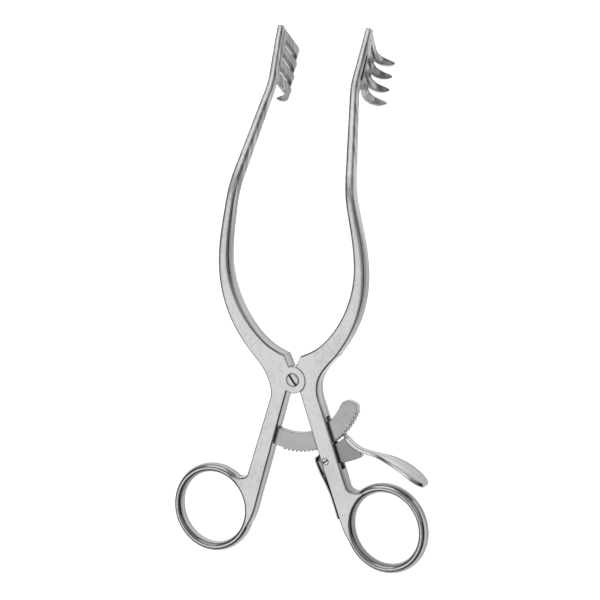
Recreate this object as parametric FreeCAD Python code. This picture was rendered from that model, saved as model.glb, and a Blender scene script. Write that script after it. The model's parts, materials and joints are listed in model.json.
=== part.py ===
import FreeCAD, Part
import math
import os

from FreeCAD import Matrix, Placement, Rotation, Vector

# Self-retaining retractor with ring handles: two arms on a lap joint, bent down towards
# their four-pronged ends, a toothed rack that runs through one shank, and a sprung pawl
# with a thumb plate. Lengths are millimetres and angles are degrees.
# The pieces are drawn in a flat frame: the pivot axis is Z, +Y runs towards the prongs,
# +X towards the arm with the pawl, and +Z out of the front faces. The last step lays the
# instrument down on its rings and its prongs.

# Arms and shanks
arm_thick = 5.5
edge_round = 0.6
shank_angle = 17.4
shank_offset = 1.15
shank_width_rack_side = 5.4
shank_width_pawl_side = 6.4
shank_flare_rack_side = 0.8
shank_flare_pawl_side = 0.2
shank_length_rack_side = 51.2
shank_length_pawl_side = 52.8
crotch_rise = 9.8
crotch_round = 1.8
waist_x = 9.5
waist_y = -1.4
shoulder_x = 3.3
shoulder_y = 8.9

# Lap joint and its screw
boss_r = 4.8
lap_clear = 0.05
boss_clear = 0.1
pivot_head_r = 2.3
pivot_head_depth = 1.2
pivot_shaft_r = 1.6
pivot_fit = 0.05
pivot_dome = 0.25
screw_slot_width = 0.75
screw_slot_depth = 0.6
pivot_slot_angle = -54.0

# Finger rings
ring_reach = 17.2
ring_drop = 6.1
ring_across = 14.0
ring_along = 14.6
ring_band = 3.2
ring_thick = 5.0
web_thick = 4.9
taper_length = 13.0
taper_rise = 5.0

# Upper arms, with stations as lengths along the middle of the arm from the pivot
fork_x = 14.7
fork_y = 12.0
fork_angle = 44.0
fork_width = 6.7
lower_at = 15.4
lower_width = 6.2
wide_x = 26.1
wide_at = 39.2
wide_width = 4.5
wide_thick = 5.5
bend_start = 61.0
bend_x = 23.55
bend_width = 3.5
bend_angle = 29.5
bend_radius = 22.0
slim_x = 19.95
slim_at = 82.0
narrow_x = 16.5
narrow_at = 103.0
tip_x = 17.15
tip_at = 127.9
seat_width = 2.6
seat_thick = 3.2
tip_width = 2.2
tip_thick = 2.7
corner_share = 0.27
rod_stations = 30

# Prong plates
prong_count = 4
prong_pitch = 5.05
prong_width = 3.1
prong_thick = 1.8
prong_straight = 10.7
prong_curl_r = 5.3
prong_tail = 1.6
prong_curl_angle = 92.0
prong_point = 0.5
prong_taper = 6.4
prong_back = 46.0
prong_lean = 9.5
prong_root = 2.6
prong_seat = 0.85

# Rack
rack_r_in = 19.3
rack_r_out = 26.3
rack_thick = 2.4
rack_free_angle = 73.5
rack_tenon = 2.6
tooth_pitch = 3.5
tooth_depth = 0.85
tooth_count = 23
tooth_start = -11.0
tooth_rake = 0.35
tooth_land = 0.35

# Slot through the pawl-side shank
slot_clear = 0.25
slot_above_rack = 3.7
slot_below_pin = 4.3

# Pawl, thumb plate and their screw
pawl_thick = 2.4
pawl_drop = 4.4
pawl_pin_across = 2.95
pawl_pin_r = 0.8
pawl_pin_fit = 0.05
pawl_head_r = 1.15
pawl_head_depth = 0.8
pawl_slot_angle = 35.0
pawl_clear = 0.12
pawl_lift = 3.2
pawl_tooth = 15
pawl_edge_gap = 0.2
pawl_nose_arc = 17.0
pawl_heel = 1.9
tail_out = 0.0
tail_thick = 1.0
tail_rise = 1.05
thumb_thick = 1.2
thumb_width = 9.4
thumb_stand = 1.4
thumb_angle = 43.3
thumb_bend = [(3.1, -2.8), (5.7, -4.1), (8.6, -4.8), (12.4, -5.5), (17.4, -7.0), (22.0, -9.2), (26.9, -12.4)]
thumb_end = (30.1, -14.4)
thumb_neck = 8.2
thumb_spoon = 23.0

# Leaf spring and its screw
spring_thick = 0.5
spring_width = 5.0
spring_foot = 6.6
spring_end_gap = 1.2
spring_gap = 0.12
spring_hook_gap = 0.6
spring_screw_rise = 4.4
spring_screw_r = 0.7
spring_screw_length = 4.2
spring_head_r = 1.6
spring_head_height = 1.1

half_thick = arm_thick / 2
pawl_pin_along = rack_r_out + pawl_drop
tail_along = pawl_pin_along - tail_rise
slot_top = rack_r_in - slot_above_rack
slot_bottom = pawl_pin_along + slot_below_pin
spring_end = shank_length_pawl_side - spring_end_gap
spring_screw_along = shank_length_pawl_side - spring_screw_rise


def along_shank(along, across, z=0.0):
    """A point measured along and across the pawl-side shank from the pivot."""
    a = math.radians(shank_angle)
    x = along * math.sin(a) + across * math.cos(a)
    y = -along * math.cos(a) + across * math.sin(a)
    return Vector(x, y, z)


def polar(radius, angle, z=0.0):
    """A point on a circle about the pivot, with its angle from -Y towards +X."""
    a = math.radians(angle)
    return Vector(radius * math.sin(a), -radius * math.cos(a), z)


def spline(points, first=None, last=None):
    """A smooth edge through points, with end tangents where they are given."""
    curve = Part.BSplineCurve()
    if first is None:
        curve.interpolate(Points=points)
    else:
        curve.interpolate(Points=points, InitialTangent=first, FinalTangent=last)
    return curve.toShape()


def line(a, b):
    return Part.LineSegment(a, b).toShape()


def arc(a, middle, b):
    return Part.Arc(a, middle, b).toShape()


def slab(edges, low, high):
    """The closed outline of edges, drawn at z = 0, as a slab from low to high."""
    face = Part.Face(Part.Wire(Part.__sortEdges__(edges)))
    face.translate(Vector(0, 0, low))
    return face.extrude(Vector(0, 0, high - low))


def polygon_slab(points, low, high):
    """A slab with straight edges between points."""
    return slab([line(points[i - 1], points[i]) for i in range(len(points))], low, high)


def disc(radius, low, high, centre=Vector(0, 0, 0)):
    return Part.makeCylinder(radius, high - low, centre + Vector(0, 0, low))


def mirrored(shape):
    return shape.mirror(Vector(0, 0, 0), Vector(1, 0, 0))


def one_solid(shape):
    """The single solid of a boolean result, with its split faces joined."""
    solids = shape.removeSplitter().Solids
    if len(solids) != 1:
        raise ValueError("expected one solid, found %d" % len(solids))
    return solids[0]


def placed(shape, origin, x_dir, y_dir):
    """The shape with its local X and Y laid along two directions at origin."""
    x = Vector(x_dir).normalize()
    z = x.cross(Vector(y_dir)).normalize()
    y = z.cross(x)
    frame = Matrix(x.x, y.x, z.x, origin.x, x.y, y.y, z.y, origin.y, x.z, y.z, z.z, origin.z, 0, 0, 0, 1)
    moved = shape.copy()
    moved.Placement = Placement(frame).multiply(shape.Placement)
    return moved


def is_upright(face):
    u0, u1, v0, v1 = face.ParameterRange
    return abs(face.normalAt((u0 + u1) / 2, (v0 + v1) / 2).z) < 0.1


def rim_edges(solid, centre):
    """The edges where the front and back faces meet walls that stay open to view."""
    fork, fork_dir, fork_side = fork_frame()
    edges = []
    for edge in solid.Edges:
        middle = edge.valueAt((edge.FirstParameter + edge.LastParameter) / 2)
        faces = solid.ancestorsOfType(edge, Part.Face)
        at_fork = abs((middle - fork).dot(fork_dir)) < 0.01
        buried = at_fork or ring_share(middle, centre) < 1.1 or math.hypot(middle.x, middle.y) < 1.5 * boss_r
        if len([f for f in faces if is_upright(f)]) == 1 and not buried:
            edges.append(edge)
    return edges


def ring_middle(length):
    """The centre of the finger ring on a shank of a given length."""
    return along_shank(length + ring_drop, ring_reach)


def ring_share(point, centre):
    """How far a point lies from the ring's centre, as a share of the ring's middle line."""
    a = math.radians(shank_angle)
    off = point - centre
    along = off.x * math.sin(a) - off.y * math.cos(a)
    across = off.x * math.cos(a) + off.y * math.sin(a)
    return math.hypot(along / ring_along, across / ring_across)


def ring_place(shape, centre):
    """Stand an oval drawn with its long side on X at the ring's centre, along the shank."""
    shape.Placement = Placement(centre, Rotation(Vector(0, 0, 1), 90 + shank_angle))
    return shape


def finger_ring(centre):
    """The oval finger ring, a band of oval section."""
    band = Part.makeTorus(ring_across, ring_band / 2)
    stretch = Matrix()
    stretch.scale(ring_along / ring_across, 1, ring_thick / ring_band)
    return ring_place(band.transformGeometry(stretch), centre)


def ring_inside(centre):
    """The space inside the ring's middle line, through the full thickness."""
    face = Part.Face(Part.Wire([Part.Ellipse(Vector(0, 0, 0), ring_along, ring_across).toShape()]))
    face.translate(Vector(0, 0, -arm_thick))
    return ring_place(face.extrude(Vector(0, 0, 2 * arm_thick)), centre)


def fork_frame():
    """The middle of the arm where the flat plate ends, its direction and its side."""
    a = math.radians(fork_angle)
    return Vector(fork_x, fork_y, 0), Vector(math.sin(a), math.cos(a), 0), Vector(math.cos(a), -math.sin(a), 0)


def web_taper(length, side):
    """What the faces lose between the shank and the thinner ring, on side +1 or -1."""
    past = length + 2 * ring_along
    end = length - taper_rise
    start = end - taper_length
    corners = [(start, half_thick), (end, web_thick / 2), (past, web_thick / 2)]
    corners += [(past, arm_thick), (start, arm_thick)]
    points = [along_shank(along, -past, side * z) for along, z in corners]
    face = Part.Face(Part.makePolygon(points + points[:1]))
    return face.extrude(along_shank(0, 1) * 2 * past)


def arm_plate(width, flare, length):
    """The flat middle of an arm, from the fork above the joint down to the finger ring."""
    outer = shank_offset + width
    down = along_shank(1, 0)
    fork, fork_dir, fork_side = fork_frame()
    fork_outer = fork + fork_side * (fork_width / 2)
    fork_inner = fork - fork_side * (fork_width / 2)
    shoulder = Vector(shoulder_x, shoulder_y, 0)
    joint_top = Vector(boss_r * 0.2, boss_r * 0.7, 0)
    joint_low = along_shank(boss_r * 0.7, shank_offset)
    ring_side = along_shank(length, shank_offset)
    ring_mid = ring_middle(length)
    ring_low = ring_mid - Vector(ring_across * 0.36, ring_along * 0.96, 0)
    ring_left = ring_mid - Vector(ring_across * 0.92, ring_along * 0.48, 0)
    ring_top = ring_mid + Vector(-ring_across * 0.42, ring_along * 0.93, 0)
    crotch = length - crotch_rise
    crotch_end = along_shank(crotch - crotch_round, outer + flare)
    crotch_low = along_shank(crotch, outer + flare) + Vector(crotch_round * 0.9, 0, 0)
    flank_top = along_shank(9.5, outer)
    edges = [
        line(joint_top, joint_low),
        line(joint_low, ring_side),
        spline([ring_side, ring_left, ring_low], down * 6, Vector(6, -3.2, 0)),
        line(ring_low, ring_mid),
        line(ring_mid, ring_top),
        spline([ring_top, crotch_low, crotch_end], Vector(-6, -2, 0), down * -4),
        line(crotch_end, flank_top),
        spline([flank_top, Vector(waist_x, waist_y, 0), fork_outer], down * -9, fork_dir * 16),
        line(fork_outer, fork_inner),
        spline([fork_inner, shoulder], fork_dir * -12, Vector(-14, -5, 0)),
        line(shoulder, joint_top),
    ]
    plate = slab(edges, -half_thick, half_thick).cut(ring_inside(ring_mid))
    for side in (1, -1):
        plate = plate.cut(web_taper(length, side))
    plate = one_solid(plate)
    return plate.makeFillet(edge_round, rim_edges(plate, ring_mid))


def rod_line():
    """The middle line of an upper arm, unfolded: x across and y along its length."""
    fork, fork_dir, fork_side = fork_frame()
    start = fork - fork_dir * 1.2
    points = [start, Vector(wide_x, wide_at, 0), Vector(bend_x, bend_start, 0), Vector(slim_x, slim_at, 0)]
    points += [Vector(narrow_x, narrow_at, 0), Vector(tip_x, tip_at, 0)]
    return spline(points, fork_dir * 24, Vector(1.0, 22, 0)).Curve


def bend_at(length):
    """The bend reached at a length along the arm, with the distal direction and its normal there."""
    full = math.radians(bend_angle)
    turn = min(max((length - bend_start) / bend_radius, 0.0), full)
    distal = Vector(0, math.cos(turn), -math.sin(turn))
    normal = Vector(0, math.sin(turn), math.cos(turn))
    return turn, distal, normal


def folded(point):
    """A point of the unfolded middle line, carried round the bend."""
    turn, distal, normal = bend_at(point.y)
    flat = min(point.y, bend_start)
    rest = max(point.y - bend_start - bend_radius * turn, 0.0)
    bent = Vector(0, bend_radius * math.sin(turn), -bend_radius * (1 - math.cos(turn)))
    return Vector(point.x, flat, 0) + bent + distal * rest


def rounded_section(width, thick, r, centre, side, up):
    """A rectangle with corners of radius r about centre, width along side and thick along up."""
    w = width / 2
    t = thick / 2
    k = r * (1 - math.sqrt(0.5))
    corners = [(w, t, -1, -1), (-w, t, 1, -1), (-w, -t, 1, 1), (w, -t, -1, 1)]
    edges = []
    ends = []
    for i, (cw, ct, sw, st) in enumerate(corners):
        near_side = (cw, ct + st * r)
        near_face = (cw + sw * r, ct)
        middle = (cw + sw * k, ct + st * k)
        first, last = (near_side, near_face) if i % 2 == 0 else (near_face, near_side)
        ends.append((first, middle, last))
    for i, (first, middle, last) in enumerate(ends):
        p = [centre + side * q[0] + up * q[1] for q in (first, middle, last)]
        following = ends[(i + 1) % 4][0]
        edges.append(arc(*p))
        edges.append(line(p[2], centre + side * following[0] + up * following[1]))
    return Part.Wire(edges)


def between(length, stations):
    """A size read off straight lines between (length, size) stations."""
    for (a, low), (b, high) in zip(stations, stations[1:]):
        if length <= b:
            return low + (high - low) * (length - a) / (b - a)
    return stations[-1][1]


def prong_span():
    return (prong_count - 1) * prong_pitch + prong_width


def upper_arm():
    """The bent, tapering rod from the fork to the tip."""
    curve = rod_line()
    seat_at = tip_at - prong_span()
    widths = [(fork_y - 1, fork_width - 0.06), (lower_at, lower_width), (wide_at, wide_width)]
    widths += [(bend_start, bend_width), (seat_at, seat_width), (tip_at, tip_width)]
    thicks = [(fork_y - 1, arm_thick - 0.06), (wide_at, wide_thick), (seat_at, seat_thick), (tip_at, tip_thick)]
    rounds = [(fork_y - 1, edge_round), (wide_at, corner_share * wide_width), (seat_at, corner_share * seat_width)]
    rounds.append((tip_at, corner_share * tip_width))
    sections = []
    for point in curve.discretize(rod_stations + 1):
        slope = curve.tangent(curve.parameter(point))[0]
        turn, distal, normal = bend_at(point.y)
        forward = (Vector(slope.x, 0, 0) + distal * slope.y).normalize()
        side = forward.cross(normal)
        width = between(point.y, widths)
        thick = between(point.y, thicks)
        sections.append(rounded_section(width, thick, between(point.y, rounds), folded(point), side, normal))
    return Part.makeLoft(sections, True, False)


def arm_tip():
    """The middle of the arm's tip, with the distal direction and the normal there."""
    turn, distal, normal = bend_at(tip_at)
    return folded(Vector(tip_x, tip_at, 0)), distal, normal


def seat_block():
    """The notch in the arm's underside that the prong plate is let into."""
    tip, distal, normal = arm_tip()
    length = prong_span() + 2
    block = Part.makeBox(8, length, 6, Vector(-4, -prong_span(), -prong_seat - 6))
    return placed(block, tip, Vector(1, 0, 0), distal)


def prong_direction():
    lean = math.radians(prong_lean)
    back = math.radians(prong_back)
    return Vector(-math.sin(lean), -math.cos(lean) * math.sin(back), -math.cos(lean) * math.cos(back))


def single_prong(width):
    """One prong: local X points outward, local Y down its length and Z across its width."""
    t = prong_thick / 2
    end = math.radians(prong_curl_angle)
    rise = -3.0

    def curl(offset_start, offset_end, share):
        r = prong_curl_r + offset_start + (offset_end - offset_start) * share
        a = end * share
        return Vector(prong_curl_r - r * math.cos(a), prong_straight + r * math.sin(a), 0)

    point = prong_point / 2
    early = point + (t - point) * 0.35
    outer = [curl(t, early, share) for share in (0, 0.5, 1)]
    inner = [curl(-t, -early, share) for share in (0, 0.5, 1)]
    tail = Vector(math.sin(end), math.cos(end), 0) * prong_tail
    tip_out = curl(t, point, 1) + tail
    tip_in = curl(-t, -point, 1) + tail
    profile = slab([
        line(Vector(-t, rise, 0), outer[0]),
        arc(*outer),
        line(outer[2], tip_out),
        line(tip_out, tip_in),
        line(tip_in, inner[2]),
        arc(*reversed(inner)),
        line(inner[0], Vector(t, rise, 0)),
        line(Vector(t, rise, 0), Vector(-t, rise, 0)),
    ], -width / 2, width / 2)
    reach = tip_out.x + 0.05
    neck = reach - prong_taper
    half = width / 2
    full = Vector(neck + prong_taper * 0.55, 0, half * 0.78)
    plan = [
        line(Vector(-3, 0, -half), Vector(-3, 0, half)),
        line(Vector(-3, 0, half), Vector(neck, 0, half)),
        arc(Vector(neck, 0, half), full, Vector(reach, 0, point)),
        line(Vector(reach, 0, point), Vector(reach, 0, -point)),
        arc(Vector(reach, 0, -point), Vector(full.x, 0, -full.z), Vector(neck, 0, -half)),
        line(Vector(neck, 0, -half), Vector(-3, 0, -half)),
    ]
    face = Part.Face(Part.Wire(Part.__sortEdges__(plan)))
    face.translate(Vector(0, rise - 1, 0))
    return profile.common(face.extrude(Vector(0, prong_straight + prong_curl_r + 8, 0)))


def prong_plate():
    """The four prongs and the web that joins them, let into the arm's underside."""
    tip, distal, normal = arm_tip()
    down = prong_direction()
    outward = down.cross(distal).normalize()
    if outward.x < 0:
        outward = outward * -1
    across = outward.cross(down).normalize()
    width = prong_width * abs(across.dot(distal))
    prong = single_prong(width)
    pieces = []
    for i in range(prong_count):
        root = tip - distal * (prong_width / 2 + i * prong_pitch)
        pieces.append(placed(prong, root, outward, down))
    corner = tip - distal * prong_span()
    rise = down * -3.0
    foot = down * (prong_root + prong_seat)
    corners = [corner + rise, tip + rise, tip + foot, corner + foot]
    web = Part.Face(Part.makePolygon(corners + corners[:1]))
    web.translate(outward * (-prong_thick / 2))
    plate = web.extrude(outward * prong_thick)
    for piece in pieces:
        plate = plate.fuse(piece)
    return one_solid(plate.common(seat_room()))


def seat_room():
    """Everything below the seat plane of the arm's tip."""
    tip, distal, normal = arm_tip()
    room = Part.makeBox(60, 90, 60, Vector(-30, -60, -prong_seat - 60))
    return placed(room, tip, Vector(1, 0, 0), distal)


def plain_arm(width, flare, length):
    """Plate, ring and rod of one arm, drawn on the +X side, with the seat for its prongs."""
    body = arm_plate(width, flare, length).fuse(finger_ring(ring_middle(length))).fuse(upper_arm())
    return one_solid(body.cut(seat_block()).cut(prong_plate()))


def screw_slot(radius, top, depth, width, angle, centre=Vector(0, 0, 0)):
    """The driver slot across a screw head whose top is at height top."""
    box = Part.makeBox(2 * radius + 2, width, depth + 1, Vector(-radius - 1, -width / 2, top - depth))
    box.Placement = Placement(centre, Rotation(Vector(0, 0, 1), angle))
    return box


def rack():
    """The toothed rack: a ring sector about the pivot with saw teeth on its outer edge."""
    root = rack_r_out - tooth_depth
    tenon_angle = -(shank_angle + math.degrees(math.asin(shank_offset / rack_r_in)))
    start = tenon_angle - math.degrees(rack_tenon / rack_r_in)
    cap = (rack_r_out - rack_r_in) / 2
    middle = rack_r_in + cap
    free = rack_free_angle - math.degrees(cap / middle)
    edges = [arc(polar(rack_r_in, free), polar(rack_r_in, (free + start) / 2), polar(rack_r_in, start))]
    edges.append(line(polar(rack_r_in, start), polar(root, start)))
    edges.append(arc(polar(root, start), polar(root, (start + tooth_start) / 2), polar(root, tooth_start)))
    for i in range(tooth_count):
        a = tooth_start + i * tooth_pitch
        crest = a + tooth_rake + tooth_land
        edges.append(line(polar(root, a), polar(rack_r_out, a + tooth_rake)))
        edges.append(line(polar(rack_r_out, a + tooth_rake), polar(rack_r_out, crest)))
        edges.append(line(polar(rack_r_out, crest), polar(root, a + tooth_pitch)))
    last = tooth_start + tooth_count * tooth_pitch
    edges.append(spline([polar(root, last), polar(middle, rack_free_angle), polar(rack_r_in, free)],
                        polar(6, last + 90), polar(6, free - 90)))
    return slab(edges, -rack_thick / 2, rack_thick / 2)


def shank_frame(along, across, z=0.0):
    """A place on the pawl-side shank whose X runs outward across it and Y runs up it."""
    return Placement(along_shank(along, across, z), Rotation(Vector(0, 0, 1), shank_angle))


def shank_box(along_top, along_low, across_in, across_out, half):
    """A block set along the pawl-side shank, half its thickness to each side of the middle."""
    block = Part.makeBox(across_out - across_in, along_low - along_top, 2 * half)
    block.Placement = shank_frame(along_low, across_in, -half)
    return block


def left_arm():
    """The arm that carries the front half of the lap joint and the rack."""
    body = mirrored(plain_arm(shank_width_rack_side, shank_flare_rack_side, shank_length_rack_side))
    body = body.cut(disc(boss_r + boss_clear, -arm_thick, lap_clear / 2))
    body = body.fuse(disc(boss_r, lap_clear / 2, half_thick))
    body = body.cut(disc(pivot_shaft_r + pivot_fit, -arm_thick, arm_thick))
    seat = half_thick - pivot_head_depth - pivot_fit
    body = body.cut(disc(pivot_head_r + pivot_fit, seat, arm_thick))
    return one_solid(body.cut(rack()))


def right_arm():
    """The arm that carries the back half of the lap joint, the pawl and the leaf spring."""
    outer = shank_offset + shank_width_pawl_side
    body = plain_arm(shank_width_pawl_side, shank_flare_pawl_side, shank_length_pawl_side)
    body = body.cut(disc(boss_r + boss_clear, -lap_clear / 2, arm_thick))
    body = body.fuse(disc(boss_r, -half_thick, -lap_clear / 2))
    body = body.cut(disc(pivot_shaft_r, -arm_thick, arm_thick))
    half_slot = rack_thick / 2 + slot_clear
    body = body.cut(shank_box(slot_top, slot_bottom, shank_offset - 2, outer + 2, half_slot))
    pin = along_shank(pawl_pin_along, pawl_pin_across)
    body = body.cut(disc(pawl_pin_r, -arm_thick, arm_thick, pin))
    body = body.cut(disc(pawl_head_r, half_thick - pawl_head_depth, arm_thick, pin))
    body = body.cut(spring_screw_shank())
    return one_solid(body)


def pivot_screw():
    """The slotted screw of the lap joint, its end riveted flush in the back half."""
    head = disc(pivot_head_r, half_thick - pivot_head_depth, half_thick)
    dome_r = (pivot_head_r ** 2 + pivot_dome ** 2) / (2 * pivot_dome)
    ball = Part.makeSphere(dome_r, Vector(0, 0, half_thick + pivot_dome - dome_r))
    cap = ball.common(disc(pivot_head_r, half_thick, half_thick + 2 * pivot_dome))
    screw = head.fuse(cap).fuse(disc(pivot_shaft_r, -half_thick, half_thick - pivot_head_depth))
    top = half_thick + pivot_dome
    return one_solid(screw.cut(screw_slot(pivot_head_r, top, screw_slot_depth + pivot_dome, screw_slot_width,
                                          pivot_slot_angle)))


def pawl_screw():
    """The small slotted screw that the pawl turns on."""
    pin = along_shank(pawl_pin_along, pawl_pin_across)
    screw = disc(pawl_head_r, half_thick - pawl_head_depth, half_thick, pin)
    screw = screw.fuse(disc(pawl_pin_r, -half_thick, half_thick - pawl_head_depth, pin))
    cut = screw_slot(pawl_head_r, half_thick, screw_slot_depth * 0.7, screw_slot_width * 0.6, pawl_slot_angle, pin)
    return one_solid(screw.cut(cut))


def pawl_swing(shape, angle):
    """The shape turned about the pawl's screw, positive the way that lifts it off the rack."""
    turned = shape.copy()
    turned.rotate(along_shank(pawl_pin_along, pawl_pin_across), Vector(0, 0, 1), -angle)
    return turned


def pawl_nose():
    """The pawl's tooth as it lies in the rack's valley when the two are locked together."""
    valley = tooth_start + (pawl_tooth + 1) * tooth_pitch
    root = rack_r_out - tooth_depth + pawl_clear
    tip = valley - math.degrees(pawl_clear / rack_r_out)
    base = rack_r_out + pawl_edge_gap
    return [polar(root, tip), polar(base, tip + tooth_rake), polar(base + 1, tip - 0.3), polar(base + 1, tip - 2.8)]


def thumb_points():
    """The underside of the thumb plate in profile, from the pawl's shoulder outwards."""
    shoulder = polar(rack_r_out + thumb_stand, thumb_angle)
    return [shoulder + Vector(x, y, 0) for x, y in [(0, 0)] + thumb_bend + [thumb_end]]


def thumb_face(height):
    """The strip's underside raised by a height, as an edge."""
    base = spline(thumb_points()).Curve
    raised = []
    for point in thumb_points():
        slope = base.tangent(base.parameter(point))[0]
        raised.append(point + Vector(-slope.y, slope.x, 0) * height)
    return spline(raised)


def pawl():
    """The pawl: a flat plate in the slot with one tooth at its corner, a gusset and a tail."""
    half = pawl_thick / 2
    tooth = pawl_swing(polygon_slab(pawl_nose(), -half, half), pawl_lift)
    valley = tooth_start + (pawl_tooth + 1) * tooth_pitch
    edge_r = rack_r_out + pawl_edge_gap
    rim = [polar(edge_r, valley - pawl_nose_arc * share) for share in (1, 0.5, 0)]
    nose_start, nose_middle, nose_end = [pawl_swing(Part.Vertex(p), pawl_lift).Point for p in rim]
    upper = thumb_face(thumb_thick * 0.5)
    joint = upper.valueAt(upper.FirstParameter)
    bends = thumb_points()
    gusset = upper.Curve.value(upper.Curve.parameter(bends[2]))
    along = upper.Curve.toShape(upper.FirstParameter, upper.Curve.parameter(gusset))
    heel = pawl_pin_along + pawl_heel
    low = along_shank(heel, shank_offset + shank_width_pawl_side + 0.3)
    crook = bends[2] + Vector(0.4, -1.8, 0)
    belly = (crook + low) * 0.5 + along_shank(0.25, 0)
    tail_top = tail_along - tail_thick / 2
    tail_low = tail_along + tail_thick / 2
    under = [along_shank(heel - 0.2, pawl_pin_across + 0.45), along_shank(heel - 0.7, pawl_pin_across - 1.2)]
    under.append(along_shank(tail_low + 0.2, pawl_pin_across - 1.65))
    outline = [
        arc(nose_start, nose_middle, nose_end),
        line(nose_end, joint),
        along,
        line(gusset, crook),
        spline([crook, belly, low]),
        line(low, under[0]),
        arc(*under),
        line(under[2], along_shank(tail_low, tail_out)),
        arc(along_shank(tail_low, tail_out), along_shank(tail_along, tail_out - tail_thick / 2),
            along_shank(tail_top, tail_out)),
        line(along_shank(tail_top, tail_out), along_shank(tail_top - 0.2, pawl_pin_across - 1.1)),
        line(along_shank(tail_top - 0.2, pawl_pin_across - 1.1), nose_start),
    ]
    body = slab(outline, -half, half).fuse(tooth)
    pin = along_shank(pawl_pin_along, pawl_pin_across)
    body = body.cut(disc(pawl_pin_r + pawl_pin_fit, -arm_thick, arm_thick, pin))
    return one_solid(body.cut(thumb_plate()))


def thumb_plate():
    """The thumb plate: a strip brazed along the pawl's shoulder, widening to a spoon end."""
    low = thumb_face(0)
    top = thumb_face(thumb_thick)
    ends = [(e.valueAt(e.FirstParameter), e.valueAt(e.LastParameter)) for e in (low, top)]
    half = thumb_width / 2
    edges = [low, top, line(ends[0][0], ends[1][0]), line(ends[0][1], ends[1][1])]
    strip = slab(edges, -half, half)
    neck = pawl_thick / 2
    shoulder = thumb_points()[0].x
    reach = max(ends[0][1].x, ends[1][1].x)
    first = shoulder - thumb_thick * 2
    near = shoulder + thumb_neck
    far = shoulder + thumb_spoon
    side = [Vector(near, 0, neck), Vector((near + far) / 2, 0, (neck + half) * 0.5), Vector(far, 0, half * 0.97)]
    side += [Vector(reach - half * 0.62, 0, half * 0.84), Vector(reach, 0, 0)]
    other = [Vector(p.x, 0, -p.z) for p in side]
    outline = [line(Vector(first, 0, neck), side[0]), spline(side, Vector(10, 0, 0), Vector(0, 0, -8))]
    outline += [line(Vector(first, 0, -neck), other[0]), spline(other, Vector(10, 0, 0), Vector(0, 0, 8))]
    outline.append(line(Vector(first, 0, neck), Vector(first, 0, -neck)))
    plan = Part.Face(Part.Wire(Part.__sortEdges__(outline)))
    depth = 3 * rack_r_out
    plan.translate(Vector(0, -depth, 0))
    return one_solid(strip.common(plan.extrude(Vector(0, depth, 0))))


def spring_line(height):
    """One face of the leaf spring, a height further from the shank than its nearer face."""
    tail_tip = tail_out - tail_thick / 2 - spring_gap
    hook = tail_along - tail_thick / 2 - spring_hook_gap
    foot = spring_end - spring_foot
    free = foot - tail_along
    places = [
        (spring_end, shank_offset - height),
        (foot, shank_offset - height),
        (foot - free * 0.4, shank_offset - 0.5 - height),
        (foot - free * 0.75, tail_tip + 0.3 - height),
        (tail_along + 0.6, tail_tip - height),
        (tail_along - 0.4, tail_tip + 0.05 - height),
        (hook + 0.15 - height * 0.75, tail_tip + 0.4 - height * 0.7),
        (hook - height, tail_tip + 1.3),
    ]
    return [along_shank(along, across) for along, across in places]


def leaf_spring():
    """The leaf spring: screwed flat to the inner flank, its free end hooked over the pawl's tail."""
    up = along_shank(-1, 0)
    inward = along_shank(0, 1)
    near = spring_line(0)
    far = spring_line(spring_thick)
    edges = [line(near[0], near[1]), spline(near[1:], up * 6, inward), line(near[-1], far[-1])]
    edges += [spline(far[1:], up * 6, inward), line(far[1], far[0]), line(far[0], near[0])]
    strip = slab(edges, -spring_width / 2, spring_width / 2)
    hole = Part.makeCylinder(spring_screw_r, 4.0, along_shank(spring_screw_along, shank_offset - 2), inward)
    return one_solid(strip.cut(hole))


def spring_screw_shank():
    """The threaded shank of the spring's screw, run in from the inner flank of the shank."""
    start = along_shank(spring_screw_along, shank_offset - spring_thick)
    return Part.makeCylinder(spring_screw_r, spring_screw_length, start, along_shank(0, 1))


def spring_screw():
    """The domed, slotted screw that holds the leaf spring."""
    seat = shank_offset - spring_thick
    dome_r = (spring_head_r ** 2 + spring_head_height ** 2) / (2 * spring_head_height)
    ball = Part.makeSphere(dome_r, along_shank(spring_screw_along, seat - spring_head_height + dome_r))
    base = along_shank(spring_screw_along, seat)
    head = ball.common(Part.makeCylinder(dome_r, 2 * spring_head_height, base, along_shank(0, -1)))
    screw = head.fuse(spring_screw_shank())
    slot_low = seat - spring_head_height - 1
    slot_high = seat - spring_head_height * 0.55
    across = screw_slot_width * 0.6
    slot = Part.makeBox(slot_high - slot_low, across, 4 * spring_head_r)
    slot.Placement = shank_frame(spring_screw_along + across / 2, slot_low, -2 * spring_head_r)
    return one_solid(screw.cut(slot))


def flat_pieces():
    """Every piece in the flat frame, by the name of its node."""
    return {
        "left_arm": left_arm(),
        "left_prong_plate": mirrored(prong_plate()),
        "ratchet_rack": rack(),
        "right_arm": right_arm(),
        "right_prong_plate": prong_plate(),
        "pivot_screw": pivot_screw(),
        "pawl": pawl(),
        "thumb_plate": thumb_plate(),
        "pawl_screw": pawl_screw(),
        "leaf_spring": leaf_spring(),
        "spring_screw": spring_screw(),
    }


def lowest(points, tilt):
    return min(p.y * math.sin(tilt) + p.z * math.cos(tilt) for p in points)


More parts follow.
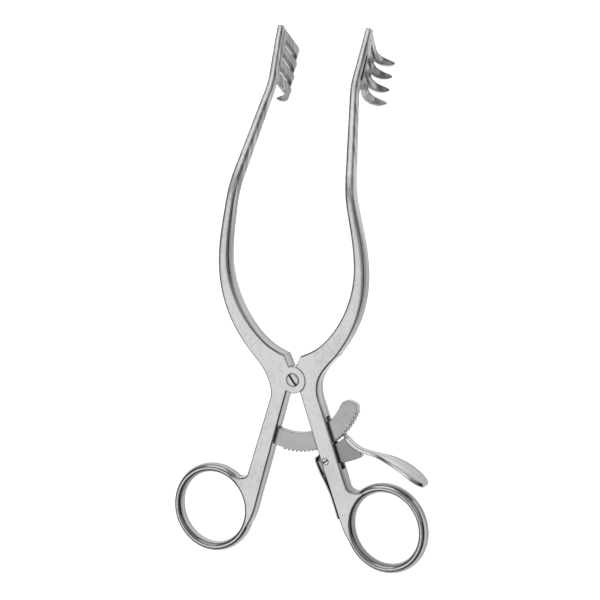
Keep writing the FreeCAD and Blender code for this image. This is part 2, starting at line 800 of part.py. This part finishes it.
def lay_down(pieces):
    """The turn and the shift that rest the instrument on its rings and its prongs."""
    lengths = (shank_length_rack_side, shank_length_pawl_side)
    rings = [p for length in lengths for p in finger_ring(ring_middle(length)).tessellate(0.02)[0]]
    prongs = prong_plate().tessellate(0.02)[0]
    low, high = 0.0, math.radians(40)
    for step in range(50):
        tilt = (low + high) / 2
        if lowest(prongs, tilt) < lowest(rings, tilt):
            low = tilt
        else:
            high = tilt
    turn = Rotation(Vector(1, 0, 0), math.degrees(tilt))
    whole = Part.makeCompound([piece.copy() for piece in pieces.values()])
    whole.Placement = Placement(Vector(0, 0, 0), turn)
    points = whole.tessellate(0.02)[0]
    xs = [p.x for p in points]
    ys = [p.y for p in points]
    shift = Vector(-(min(xs) + max(xs)) / 2, -(min(ys) + max(ys)) / 2, -min(p.z for p in points))
    return Placement(shift, turn)


def main():
    os.makedirs("parts", exist_ok=True)
    pieces = flat_pieces()
    lay = lay_down(pieces)
    for name, piece in pieces.items():
        piece.Placement = lay.multiply(piece.Placement)
        piece.exportStep("parts/%s.step" % name)
        print(name, piece.isValid(), len(piece.Solids), round(piece.Volume, 2))
    print("tilt", round(math.degrees(lay.Rotation.Angle), 4), "pivot", lay.Base)


if __name__ == "__main__":
    main()
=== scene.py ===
import json
import math

import bmesh
import bpy
from mathutils import Matrix, Vector

bl_info = {
    "name": "Self-retaining retractor looks",
    "version": (1, 0, 0),
    "blender": (4, 5, 0),
    "location": "View3D > Sidebar > Retractor",
    "description": "Finishes, studio and camera for a ring-handled retractor with a rack and pawl",
    "category": "Object",
}

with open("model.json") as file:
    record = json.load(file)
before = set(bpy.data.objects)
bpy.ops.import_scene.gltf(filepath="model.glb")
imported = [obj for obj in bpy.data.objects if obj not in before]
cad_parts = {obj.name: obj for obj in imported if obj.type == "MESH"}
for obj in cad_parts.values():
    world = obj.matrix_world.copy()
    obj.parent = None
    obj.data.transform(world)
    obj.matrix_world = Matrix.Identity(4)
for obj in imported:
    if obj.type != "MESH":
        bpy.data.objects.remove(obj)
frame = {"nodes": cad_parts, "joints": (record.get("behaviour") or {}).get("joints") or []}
nodes = frame["nodes"]
joints = {joint["name"]: joint for joint in frame["joints"]}
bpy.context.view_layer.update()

MM = 0.001
# The pivot, the direction the front faces look and their lean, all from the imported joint.
PIVOT = Vector(joints["arm_spread"]["pos_m"])
FRONT = -Vector(joints["arm_spread"]["axis"])
TILT = math.atan2(-FRONT.y, FRONT.z)
# Lengths along the arms from the pivot: where their edges begin to round and are fully round,
# and where the arms bend down.
ROUND_START = 12.0 * MM
ROUND_FULL = 36.6 * MM
BEND_START = 61.0 * MM
BEND_END = 71.8 * MM
BEND_ANGLE = math.radians(29.5)
# Half the arms' thickness, a radius near the middle of the rack, and the lean of each shank.
FACE_HEIGHT = 2.75 * MM
RACK_RADIUS = 23.0 * MM
SHANK_ANGLE = math.radians(17.4)

# The side of the photograph and the place of the pivot screw in it, in pixels.
PHOTO_SIDE = 600
SCREW_PIXEL = (292.6, 380.2)
# The camera's sensor, in the millimetres that its lens is given in.
SENSOR_WIDTH = 36.0

# How much of the brushing is on walls as well, and how far it roughens the steel.
WALL_GRAIN = 0.25
GRAIN_ROUGHNESS = 0.35
# What edges lose in tone, as painted dark lines, and in roughness; what a crevice keeps of its tone under
# painted shade; and what a painted reflection streak takes from the walls.
EDGE_PAINTED_SHADE = 0.8
EDGE_SHINE = 0.6
CREVICE_SHADE_TONE = 0.12
PAINTED_STREAK_DEPTH = 0.5

# Roughness of the smaller pieces, the turn that lays their brushing along X,
# and how strong it is on the screws.
PRONG_ROUGHNESS = 0.3
PRONG_TURN = 1.2
RACK_WALL_ROUGHNESS = 0.2
THUMB_FACE_ROUGHNESS = 0.3
LEVER_WALL_ROUGHNESS = 0.25
LEVER_TURN = 0.6
SCREW_FACE_ROUGHNESS = 0.25
SCREW_WALL_ROUGHNESS = 0.15
SCREW_TURN = 0.9
SCREW_GRAIN = 0.3

# How far the floor reaches each way, and how far it lies below the instrument.
FLOOR_REACH = 4.0
FLOOR_DROP = 0.02 * MM

FLOAT = "NodeSocketFloat"
VECTOR = "NodeSocketVector"
# The two inputs and the output that a Mix node uses for each kind of value.
MIX_SOCKETS = {"FLOAT": (2, 3, 0), "VECTOR": (4, 5, 1), "RGBA": (6, 7, 2)}


def flat_to_row(x, y, z):
    """A direction given across, along and out of the front faces, turned as the instrument lies."""
    return Matrix.Rotation(TILT, 3, "X") @ Vector((x, y, z))


ALONG = flat_to_row(0, 1, 0)
PIVOT_ALONG = PIVOT.dot(ALONG)


# Node helpers


def new_group(name, inputs, outputs):
    """An empty shader group with named float inputs, outputs by kind, and its two end nodes."""
    group = bpy.data.node_groups.new(name, "ShaderNodeTree")
    for label, default in inputs.items():
        socket = group.interface.new_socket(label, in_out="INPUT", socket_type=FLOAT)
        socket.default_value = default
    for label, kind in outputs.items():
        group.interface.new_socket(label, in_out="OUTPUT", socket_type=kind)
    return group, group.nodes.new("NodeGroupInput"), group.nodes.new("NodeGroupOutput")


def feed(tree, socket, value):
    """Links an output to an input, or sets the input to a number, a colour or a vector."""
    if isinstance(value, bpy.types.NodeSocket):
        tree.links.new(value, socket)
    else:
        socket.default_value = value


def add(tree, kind, inputs=None, **settings):
    """A node with attributes set by name, and inputs fed by socket name or number."""
    node = tree.nodes.new(kind)
    for key, value in settings.items():
        setattr(node, key, value)
    for socket, value in (inputs or {}).items():
        feed(tree, node.inputs[socket], value)
    return node


def effect(tree, group, inputs=None):
    """The outputs of one of the shared groups, set in a tree."""
    return add(tree, "ShaderNodeGroup", inputs, node_tree=group).outputs


def math_node(tree, operation, *values, clamp=False):
    """The result of a math node; the values are sockets or numbers."""
    inputs = dict(enumerate(values))
    return add(tree, "ShaderNodeMath", inputs, operation=operation, use_clamp=clamp).outputs[0]


def map_range(tree, value, low, high, to_low=0.0, to_high=1.0):
    """A value carried from one range to another, and held within it."""
    inputs = dict(enumerate((value, low, high, to_low, to_high)))
    return add(tree, "ShaderNodeMapRange", inputs).outputs[0]


def mix_node(tree, kind, share, a, b, blend="MIX"):
    """a where the share is 0, and b laid over it by the blend where it is 1; kind is as in MIX_SOCKETS."""
    first, second, result = MIX_SOCKETS[kind]
    inputs = {0: share, first: a, second: b}
    return add(tree, "ShaderNodeMix", inputs, data_type=kind, blend_type=blend).outputs[result]


def vector_node(tree, operation, a, b, result="Vector"):
    """The result of a vector math node; a and b are sockets or vectors."""
    return add(tree, "ShaderNodeVectorMath", {0: a, 1: b}, operation=operation).outputs[result]


def dot_node(tree, a, b):
    return vector_node(tree, "DOT_PRODUCT", a, b, "Value")


def noise_node(tree, place, scale, detail, roughness):
    inputs = {"Vector": place, "Scale": scale, "Detail": detail, "Roughness": roughness}
    return add(tree, "ShaderNodeTexNoise", inputs).outputs[0]


# Shared effects


def front_mask_group():
    """1 on faces that look out of the front or the back, round the bend as well, 0 on walls."""
    group, start, end = new_group("Front face mask", {"Sharpness": 0.05}, {"Mask": FLOAT})
    coords = add(group, "ShaderNodeTexCoord")
    place = dot_node(group, coords.outputs["Object"], ALONG)
    turn = map_range(group, place, PIVOT_ALONG + BEND_START, PIVOT_ALONG + BEND_END, 0.0, BEND_ANGLE)
    out = math_node(group, "MULTIPLY", dot_node(group, coords.outputs["Normal"], FRONT),
                    math_node(group, "COSINE", turn))
    up = math_node(group, "MULTIPLY", dot_node(group, coords.outputs["Normal"], ALONG),
                   math_node(group, "SINE", turn))
    facing = math_node(group, "ABSOLUTE", math_node(group, "ADD", out, up))
    below = math_node(group, "SUBTRACT", 1.0, facing)
    share = math_node(group, "DIVIDE", below, start.outputs["Sharpness"], clamp=True)
    feed(group, end.inputs["Mask"], math_node(group, "SUBTRACT", 1.0, share))
    return group


def grain_group():
    """Fine drawn-out scratches: a value about 0.5 for tone and a height for the bump.

    They run straight at an angle, or with Radial at 1 outward from the pivot.
    """
    mottle_share = 0.45
    patch_scale = 75.0
    patch_depth = 0.45
    group, start, end = new_group("Brushed grain", {
        "Scale": 1900.0,
        "Stretch": 9.0,
        "Turn": 0.0,
        "Radial": 0.0,
        "Mottle Scale": 500.0,
    }, {"Tone": FLOAT, "Height": FLOAT})
    place = add(group, "ShaderNodeTexCoord").outputs["Object"]
    turned = add(group, "ShaderNodeVectorRotate", {"Vector": place, "Angle": start.outputs["Turn"]},
                 rotation_type="Z_AXIS")
    out_x = math_node(group, "SUBTRACT", dot_node(group, place, (1, 0, 0)), PIVOT.x)
    out_y = math_node(group, "SUBTRACT", dot_node(group, place, ALONG), PIVOT_ALONG)
    squares = math_node(group, "ADD", math_node(group, "MULTIPLY", out_x, out_x),
                        math_node(group, "MULTIPLY", out_y, out_y))
    around = math_node(group, "MULTIPLY", math_node(group, "ARCTAN2", out_x, out_y), RACK_RADIUS)
    polar = add(group, "ShaderNodeCombineXYZ", {0: math_node(group, "POWER", squares, 0.5), 1: around})
    laid = mix_node(group, "VECTOR", start.outputs["Radial"], turned.outputs["Vector"], polar.outputs[0])
    slow = math_node(group, "DIVIDE", start.outputs["Scale"], start.outputs["Stretch"])
    fast = start.outputs["Scale"]
    scale = add(group, "ShaderNodeCombineXYZ", {0: slow, 1: fast, 2: fast})
    drawn_out = vector_node(group, "MULTIPLY", laid, scale.outputs[0])
    fine = noise_node(group, drawn_out, scale=1.0, detail=3.0, roughness=0.65)
    mottle = noise_node(group, place, start.outputs["Mottle Scale"], detail=4.0, roughness=0.7)
    both = mix_node(group, "FLOAT", mottle_share, fine, mottle)
    patches = noise_node(group, place, patch_scale, detail=2.0, roughness=0.5)
    uneven = math_node(group, "MULTIPLY", math_node(group, "SUBTRACT", patches, 0.5), patch_depth)
    feed(group, end.inputs["Tone"], math_node(group, "ADD", both, uneven))
    feed(group, end.inputs["Height"], fine)
    return group


def painted_streak_group():
    """Long soft streaks drawn along the instrument, which darken the walls' colour as painted reflections of
    a streaky room.
    """
    group, start, end = new_group("Polish streaks", {"Scale": 650.0, "Stretch": 30.0}, {"Streak": FLOAT})
    place = add(group, "ShaderNodeTexCoord").outputs["Object"]
    flat = add(group, "ShaderNodeVectorRotate", {"Vector": place, "Angle": -TILT}, rotation_type="X_AXIS")
    slow = math_node(group, "DIVIDE", start.outputs["Scale"], start.outputs["Stretch"])
    scale = add(group, "ShaderNodeCombineXYZ", {0: slow, 1: slow, 2: start.outputs["Scale"]})
    drawn_out = vector_node(group, "MULTIPLY", flat.outputs["Vector"], scale.outputs[0])
    noise = noise_node(group, drawn_out, scale=1.0, detail=2.0, roughness=0.5)
    feed(group, end.inputs["Streak"], map_range(group, noise, 0.4, 0.6))
    return group


def edge_shade_and_polish_group():
    """1 on edges, which the polishing wheel leaves like a mirror beside the satin faces, and along which the
    colour darkens as painted shade: dark lines for what the edges reflect.
    """
    group, start, end = new_group("Worn edge", {"Radius": 0.42 * MM}, {"Edge": FLOAT})
    rounded = add(group, "ShaderNodeBevel", {"Radius": start.outputs["Radius"]}, samples=4)
    geometry = add(group, "ShaderNodeNewGeometry")
    alike = dot_node(group, rounded.outputs[0], geometry.outputs["Normal"])
    turned = math_node(group, "SUBTRACT", 1.0, alike)
    feed(group, end.inputs["Edge"], map_range(group, turned, 0.03, 0.2))
    return group


def crevice_shade_group():
    """1 in the open, falling to 0 in slots, seams and inner corners, where the colour is darkened as painted
    shade.
    """
    group, start, end = new_group("Crevice", {"Reach": 0.6 * MM}, {"Open": FLOAT})
    near = add(group, "ShaderNodeAmbientOcclusion", {"Distance": start.outputs["Reach"]}, samples=8)
    feed(group, end.inputs["Open"], map_range(group, near.outputs["AO"], 0.3, 0.9))
    return group


def rounding_group():
    """Rounded edges for the bump to start from, with a radius of their own further along the arms."""
    group, start, end = new_group("Rounded edges", {"Radius": 0.3 * MM, "Radius On Arms": 0.3 * MM},
                                  {"Normal": VECTOR})
    coords = add(group, "ShaderNodeTexCoord")
    place = dot_node(group, coords.outputs["Object"], ALONG)
    share = map_range(group, place, PIVOT_ALONG + ROUND_START, PIVOT_ALONG + ROUND_FULL)
    radius = mix_node(group, "FLOAT", share, start.outputs["Radius"], start.outputs["Radius On Arms"])
    rounded = add(group, "ShaderNodeBevel", {"Radius": radius}, samples=8)
    feed(group, end.inputs["Normal"], rounded.outputs[0])
    return group


def shared_groups():
    """The effects that the steels share, made once."""
    makers = {
        "front": ("Front face mask", front_mask_group),
        "grain": ("Brushed grain", grain_group),
        "streak": ("Polish streaks", painted_streak_group),
        "edge": ("Worn edge", edge_shade_and_polish_group),
        "crevice": ("Crevice", crevice_shade_group),
        "rounding": ("Rounded edges", rounding_group),
    }
    return {key: bpy.data.node_groups.get(name) or make() for key, (name, make) in makers.items()}


def steel_material(name, face, wall, turn, grain_amount, reach=0.7, rounds=(0.35, 0.35), radial=0.0):
    """Steel with a satin front, polished walls and smoother edges, with painted shade along the edges and in
    crevices, and painted reflection streaks on the walls.

    face and wall are (colour, roughness) pairs; reach and rounds are in millimetres.
    """
    groups = shared_groups()
    material = bpy.data.materials.new(name)
    material.use_nodes = True
    tree = material.node_tree
    shader = tree.nodes["Principled BSDF"]
    shader.inputs["Metallic"].default_value = 1.0
    mask = effect(tree, groups["front"])["Mask"]
    grain = effect(tree, groups["grain"], {"Turn": turn, "Radial": radial})
    edge = effect(tree, groups["edge"])["Edge"]
    unshaded = effect(tree, groups["crevice"], {"Reach": reach * MM})["Open"]
    streak = effect(tree, groups["streak"])["Streak"]

    tone = math_node(tree, "SUBTRACT", grain["Tone"], 0.5)
    on_face = math_node(tree, "MULTIPLY", tone, mask)
    on_all = math_node(tree, "MULTIPLY_ADD", tone, WALL_GRAIN, on_face)
    gain = math_node(tree, "MULTIPLY", on_all, grain_amount)

    # Painted shade: the edges darken into dark lines in the colour.
    painted_edge_shade = math_node(tree, "MULTIPLY", edge, EDGE_PAINTED_SHADE)
    value = math_node(tree, "SUBTRACT", math_node(tree, "ADD", gain, 1.0), painted_edge_shade)
    # Painted shade: the colour darkens in slots, seams and inner corners, down to the crevice's kept tone.
    value = math_node(tree, "MULTIPLY", value, map_range(tree, unshaded, 0.0, 1.0, CREVICE_SHADE_TONE, 1.0))
    # Painted reflection: darker streaks along the polished walls.
    on_wall = math_node(tree, "SUBTRACT", 1.0, mask)
    painted_streaks = math_node(tree, "MULTIPLY", on_wall, map_range(tree, streak, 0.0, 1.0, PAINTED_STREAK_DEPTH, 0.0))
    value = math_node(tree, "MULTIPLY", value, math_node(tree, "SUBTRACT", 1.0, painted_streaks))
    base = mix_node(tree, "RGBA", mask, (*wall[0], 1.0), (*face[0], 1.0))
    toned = add(tree, "ShaderNodeHueSaturation", {"Color": base, "Value": value})
    feed(tree, shader.inputs["Base Color"], toned.outputs["Color"])

    rough = mix_node(tree, "FLOAT", mask, wall[1], face[1])
    brushed = math_node(tree, "MULTIPLY_ADD", gain, GRAIN_ROUGHNESS, rough)
    smooth = math_node(tree, "SUBTRACT", 1.0, math_node(tree, "MULTIPLY", edge, EDGE_SHINE))
    feed(tree, shader.inputs["Roughness"], math_node(tree, "MULTIPLY", brushed, smooth))

    rounded = effect(tree, groups["rounding"], {"Radius": rounds[0] * MM, "Radius On Arms": rounds[1] * MM})
    bump = add(tree, "ShaderNodeBump", {
        "Strength": 0.5,
        "Distance": 0.015 * MM,
        "Normal": rounded["Normal"],
        "Height": grain["Height"],
    })
    feed(tree, shader.inputs["Normal"], bump.outputs["Normal"])
    return material


def dress(name, material):
    """Gives a CAD node its finish."""
    piece = nodes[name]
    piece.data.materials.clear()
    piece.data.materials.append(material)


# Properties


class SteelSettings(bpy.types.PropertyGroup):
    satin: bpy.props.FloatVectorProperty(
        name="Satin steel", description="Colour of the satin front faces", subtype="COLOR",
        default=(0.53, 0.53, 0.535), min=0, max=1)
    # Darker than the satin: painted shade on the polished walls, which the prongs share.
    polished: bpy.props.FloatVectorProperty(
        name="Polished steel", description="Colour of the polished walls, and of the prongs", subtype="COLOR",
        default=(0.4, 0.4, 0.405), min=0, max=1)
    satin_roughness: bpy.props.FloatProperty(
        name="Satin roughness", description="Roughness of the satin faces", subtype="FACTOR",
        default=0.36, min=0, max=1)
    polished_roughness: bpy.props.FloatProperty(
        name="Polished roughness", description="Roughness of the polished walls", subtype="FACTOR",
        default=0.14, min=0, max=1)
    # Painted shade: the rack's face is the satin darkened by this share, and the pawl's is darkened by it
    # twice.
    ratchet_shade: bpy.props.FloatProperty(
        name="Ratchet shade", description="How bright the rack is beside the arms, and the pawl beside the rack",
        subtype="FACTOR", default=0.68, min=0, max=1)
    grain: bpy.props.FloatProperty(
        name="Grain", description="How strongly the brushing changes the tone of the satin faces",
        subtype="FACTOR", default=1.5, min=0, max=3)


class StudioSettings(bpy.types.PropertyGroup):
    turn: bpy.props.FloatProperty(
        name="Turn", description="Angle between the front faces' normal and the camera", subtype="ANGLE",
        default=math.radians(28))
    heading: bpy.props.FloatProperty(
        name="Heading", subtype="ANGLE", default=math.radians(25),
        description="Direction in which the camera leans off the normal, from the right towards the prongs")
    roll: bpy.props.FloatProperty(
        name="Roll", description="Roll of the camera about its line of sight", subtype="ANGLE",
        default=math.radians(-1.3))
    distance: bpy.props.FloatProperty(
        name="Distance", description="Distance from the camera to the pivot screw", subtype="DISTANCE",
        unit="LENGTH", default=1.2)
    lens: bpy.props.FloatProperty(
        name="Lens", description="Focal length in millimetres on a 36 mm sensor", default=205.2, min=1)
    screw_x: bpy.props.FloatProperty(
        name="Screw across", default=SCREW_PIXEL[0] / PHOTO_SIDE,
        description="Where the pivot screw stands across the picture, as a share of its width")
    screw_y: bpy.props.FloatProperty(
        name="Screw down", default=SCREW_PIXEL[1] / PHOTO_SIDE,
        description="Where the pivot screw stands down the picture, as a share of its height")
    floor: bpy.props.FloatVectorProperty(
        name="Floor", description="Colour of the floor", subtype="COLOR", default=(0.82, 0.82, 0.82),
        min=0, max=1)
    floor_glow: bpy.props.FloatProperty(
        name="Floor glow", description="What the floor adds to its own colour, seen directly or in the steel",
        default=0.75, min=0)
    key: bpy.props.FloatProperty(
        name="Key", description="Power of the key light", subtype="POWER", unit="POWER", default=2.6, min=0)
    fill: bpy.props.FloatProperty(
        name="Fill", description="Power of the fill light", subtype="POWER", unit="POWER", default=0.8, min=0)
    back: bpy.props.FloatProperty(
        name="Back", description="Power of the light beyond the prongs", subtype="POWER", unit="POWER",
        default=3.6, min=0)
    sky: bpy.props.FloatProperty(
        name="Surround", description="Brightness of the room round the instrument", default=0.55, min=0)


# Operators


class RETRACTOR_OT_arms(bpy.types.Operator):
    """Finish both arms: satin front faces and polished walls"""
    bl_idname = "retractor.arms"
    bl_label = "Arms"

    def execute(self, context):
        steel = context.scene.retractor_steel
        face = (steel.satin, steel.satin_roughness)
        wall = (steel.polished, steel.polished_roughness)
        for side, turn in (("left", SHANK_ANGLE - math.pi / 2), ("right", -SHANK_ANGLE - math.pi / 2)):
            material = steel_material("Arm steel " + side, face, wall, turn, steel.grain, rounds=(0.55, 1.8))
            dress(side + "_arm", material)
        return {"FINISHED"}


class RETRACTOR_OT_prongs(bpy.types.Operator):
    """Finish both prong plates, faces and walls alike"""
    bl_idname = "retractor.prongs"
    bl_label = "Prong plates"

    def execute(self, context):
        steel = context.scene.retractor_steel
        even = (steel.polished, PRONG_ROUGHNESS)
        # The wide reach darkens the slots between the prongs with painted shade.
        material = steel_material("Prong steel", even, even, PRONG_TURN, steel.grain, reach=2.4)
        for side in ("left", "right"):
            dress(side + "_prong_plate", material)
        return {"FINISHED"}


class RETRACTOR_OT_ratchet(bpy.types.Operator):
    """Finish the rack, the thumb plate and the pawl"""
    bl_idname = "retractor.ratchet"
    bl_label = "Rack and pawl"

    def execute(self, context):
        steel = context.scene.retractor_steel
        # Painted shade: the rack's and the pawl's faces are shaded copies of the satin.
        rack_shaded = tuple(c * steel.ratchet_shade for c in steel.satin)
        rack = steel_material("Rack steel", (rack_shaded, steel.satin_roughness),
                              (steel.polished, RACK_WALL_ROUGHNESS), 0.0, steel.grain, reach=1.6, radial=1.0)
        dress("ratchet_rack", rack)
        thumb = steel_material("Thumb plate steel", (steel.satin, THUMB_FACE_ROUGHNESS),
                               (steel.satin, LEVER_WALL_ROUGHNESS), LEVER_TURN, steel.grain)
        dress("thumb_plate", thumb)
        dark = tuple(c * steel.ratchet_shade for c in rack_shaded)
        pawl = steel_material("Pawl steel", (dark, steel.satin_roughness),
                              (steel.polished, LEVER_WALL_ROUGHNESS), LEVER_TURN, steel.grain)
        dress("pawl", pawl)
        return {"FINISHED"}


class RETRACTOR_OT_screws(bpy.types.Operator):
    """Finish the three screws and the leaf spring"""
    bl_idname = "retractor.screws"
    bl_label = "Screws and spring"

    def execute(self, context):
        steel = context.scene.retractor_steel
        material = steel_material("Screw steel", (steel.satin, SCREW_FACE_ROUGHNESS),
                                  (steel.polished, SCREW_WALL_ROUGHNESS), SCREW_TURN, SCREW_GRAIN)
        for name in ("pivot_screw", "pawl_screw", "spring_screw", "leaf_spring"):
            dress(name, material)
        return {"FINISHED"}


def area_light(name, direction, distance, size, power):
    """A soft box that looks at the instrument from a direction."""
    data = bpy.data.lights.new(name, "AREA")
    data.shape = "RECTANGLE"
    data.size, data.size_y = size
    data.energy = power
    light = bpy.data.objects.new(name, data)
    bpy.context.scene.collection.objects.link(light)
    aim = Vector(direction).normalized()
    light.location = PIVOT + aim * distance
    light.rotation_mode = "QUATERNION"
    light.rotation_quaternion = aim.to_track_quat("Z", "Y")


def floor_material(settings):
    """A pale floor that shows white to the camera and in the steel, and still takes shadows."""
    material = bpy.data.materials.new("Pale floor")
    material.use_nodes = True
    tree = material.node_tree
    shader = tree.nodes["Principled BSDF"]
    shader.inputs["Base Color"].default_value = (*settings.floor, 1.0)
    shader.inputs["Roughness"].default_value = 0.9
    shader.inputs["Specular IOR Level"].default_value = 0.0
    path = add(tree, "ShaderNodeLightPath")
    seen = math_node(tree, "MAXIMUM", path.outputs["Is Camera Ray"], path.outputs["Is Glossy Ray"])
    seen = math_node(tree, "MAXIMUM", seen, path.outputs["Is Transmission Ray"])
    shader.inputs["Emission Color"].default_value = (1.0, 1.0, 1.0, 1.0)
    feed(tree, shader.inputs["Emission Strength"], math_node(tree, "MULTIPLY", seen, settings.floor_glow))
    return material


def studio_world(settings):
    """White to the camera, and to the steel a plain room, dark low down except beyond the prongs."""
    world = bpy.data.worlds.new("Studio")
    world.use_nodes = True
    tree = world.node_tree
    background = tree.nodes["Background"]
    coords = add(tree, "ShaderNodeTexCoord")
    split = add(tree, "ShaderNodeSeparateXYZ", {0: coords.outputs["Generated"]})
    ramp = add(tree, "ShaderNodeValToRGB")
    # Heights from the horizon, which holds for all below it, to straight up, and how bright it is there.
    stops = ((0.0, 0.03), (0.3, 0.06), (0.5, 0.2), (0.66, 0.8), (0.8, 1.0))
    while len(ramp.color_ramp.elements) < len(stops):
        ramp.color_ramp.elements.new(0.5)
    for element, (height, level) in zip(ramp.color_ramp.elements, stops):
        element.position = height
        element.color = (level, level, level, 1)
    # Beyond the prongs the room is bright further down.
    beyond = map_range(tree, split.outputs[1], 0.2, 0.9, to_high=0.5)
    feed(tree, ramp.inputs[0], math_node(tree, "ADD", split.outputs[2], beyond))
    path = add(tree, "ShaderNodeLightPath")
    sky = (settings.sky, settings.sky, settings.sky, 1)
    room = mix_node(tree, "RGBA", 1.0, ramp.outputs[0], sky, blend="MULTIPLY")
    seen = mix_node(tree, "RGBA", path.outputs["Is Camera Ray"], room, (1, 1, 1, 1))
    feed(tree, background.inputs["Color"], seen)
    background.inputs["Strength"].default_value = 1.0
    bpy.context.scene.world = world


class RETRACTOR_OT_stage(bpy.types.Operator):
    """Set up the floor, the studio light and the camera"""
    bl_idname = "retractor.stage"
    bl_label = "Stage"

    def execute(self, context):
        settings = context.scene.retractor_studio
        bm = bmesh.new()
        bmesh.ops.create_grid(bm, x_segments=1, y_segments=1, size=FLOOR_REACH)
        mesh = bpy.data.meshes.new("floor")
        bm.to_mesh(mesh)
        bm.free()
        mesh.transform(Matrix.Translation((0, 0, -FLOOR_DROP)))
        floor = bpy.data.objects.new("floor", mesh)
        context.scene.collection.objects.link(floor)
        floor.data.materials.append(floor_material(settings))
        studio_world(settings)
        # Each light's direction from the pivot, its distance and the sides of its box, in metres.
        boxes = {
            "key": ((-0.55, -0.45, 0.85), 1.2, (0.9, 0.9)),
            "fill": ((0.9, 0.25, 0.7), 1.3, (0.7, 1.2)),
            "back": (flat_to_row(-0.3, 0.86, 0.42), 1.3, (1.0, 0.9)),
        }
        for name, (direction, distance, sides) in boxes.items():
            area_light(name, direction, distance, sides, getattr(settings, name))
        self.camera(context, settings)
        context.scene.view_settings.view_transform = "Standard"
        return {"FINISHED"}

    def camera(self, context, settings):
        """The photograph's view: leaning off the front normal, with the screw at its place in the picture."""
        lean, heading, roll = settings.turn, settings.heading, settings.roll
        aside = math.sin(lean)
        back = Vector((aside * math.cos(heading), aside * math.sin(heading), math.cos(lean)))
        right = Vector((0, 1, 0)).cross(back).normalized()
        up = back.cross(right)
        rolled = math.cos(roll) * right + math.sin(roll) * up
        up = math.cos(roll) * up - math.sin(roll) * right
        right, up, back = (flat_to_row(*axis) for axis in (rolled, up, back))
        data = bpy.data.cameras.new("camera")
        data.lens = settings.lens
        data.sensor_width = SENSOR_WIDTH
        data.dof.use_dof = False
        data.clip_start = 0.05
        data.clip_end = 20.0
        camera = bpy.data.objects.new("camera", data)
        context.scene.collection.objects.link(camera)
        screw = PIVOT + FRONT * FACE_HEIGHT
        width = settings.distance * SENSOR_WIDTH / settings.lens
        across = (settings.screw_x - 0.5) * width
        down = (settings.screw_y - 0.5) * width
        place = screw + back * settings.distance - right * across + up * down
        turn = Matrix((right, up, back)).transposed().to_4x4()
        camera.matrix_world = Matrix.Translation(place) @ turn
        context.scene.camera = camera


class RETRACTOR_PT_panel(bpy.types.Panel):
    """The steps of the instrument's looks"""
    bl_label = "Retractor"
    bl_idname = "RETRACTOR_PT_panel"
    bl_space_type = "VIEW_3D"
    bl_region_type = "UI"
    bl_category = "Retractor"

    def draw(self, context):
        for operator in STEPS:
            self.layout.operator(operator.bl_idname)
        for settings in (context.scene.retractor_steel, context.scene.retractor_studio):
            box = self.layout.box()
            for name in settings.__annotations__:
                box.prop(settings, name)


STEPS = (
    RETRACTOR_OT_arms,
    RETRACTOR_OT_prongs,
    RETRACTOR_OT_ratchet,
    RETRACTOR_OT_screws,
    RETRACTOR_OT_stage,
)
CLASSES = (SteelSettings, StudioSettings, *STEPS, RETRACTOR_PT_panel)


def register():
    for cls in CLASSES:
        bpy.utils.register_class(cls)
    bpy.types.Scene.retractor_steel = bpy.props.PointerProperty(type=SteelSettings)
    bpy.types.Scene.retractor_studio = bpy.props.PointerProperty(type=StudioSettings)


def unregister():
    del bpy.types.Scene.retractor_steel
    del bpy.types.Scene.retractor_studio
    for cls in reversed(CLASSES):
        bpy.utils.unregister_class(cls)


def main():
    register()
    for operator in STEPS:
        group, name = operator.bl_idname.split(".")
        getattr(getattr(bpy.ops, group), name)()


if __name__ == "__main__":
    main()
